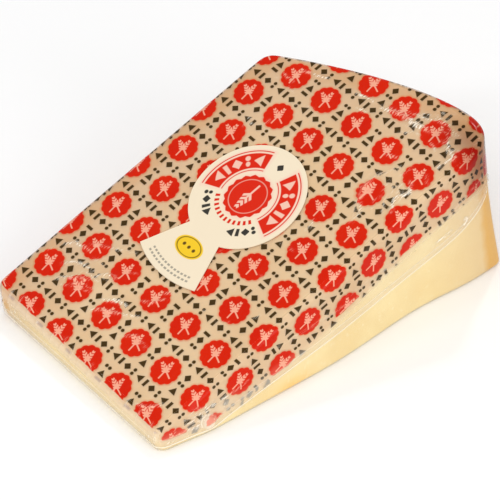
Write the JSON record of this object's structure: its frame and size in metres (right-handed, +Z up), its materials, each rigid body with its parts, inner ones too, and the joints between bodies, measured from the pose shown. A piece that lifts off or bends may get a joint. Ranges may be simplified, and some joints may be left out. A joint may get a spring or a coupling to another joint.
{
  "type": "film-wrapped wedge of hard grana cheese",
  "caption": "Wedge of hard grana cheese sealed tightly in printed clear film, lying on one radial cut, with a keyhole-shaped label on the other.",
  "frame": {"origin": "centre of the bounding box on the resting face", "axes": "+X from the thin tip to the heel, which is the wheel's rounded rim; +Y from the near face, cut at half the wheel's height, to the wheel's flat rind; +Z up from the resting face"},
  "size_m": [0.1814, 0.1144, 0.0724],
  "materials": {
    "film": "clear glossy film, drawn tight and printed on its upper part",
    "cheese": "pale straw-coloured grainy paste with a golden rind",
    "label": "smooth coated cream paper"
  },
  "bodies": {
    "root": {"wrapped_wedge": "film", "label": "label"}
  },
  "joints": []
}
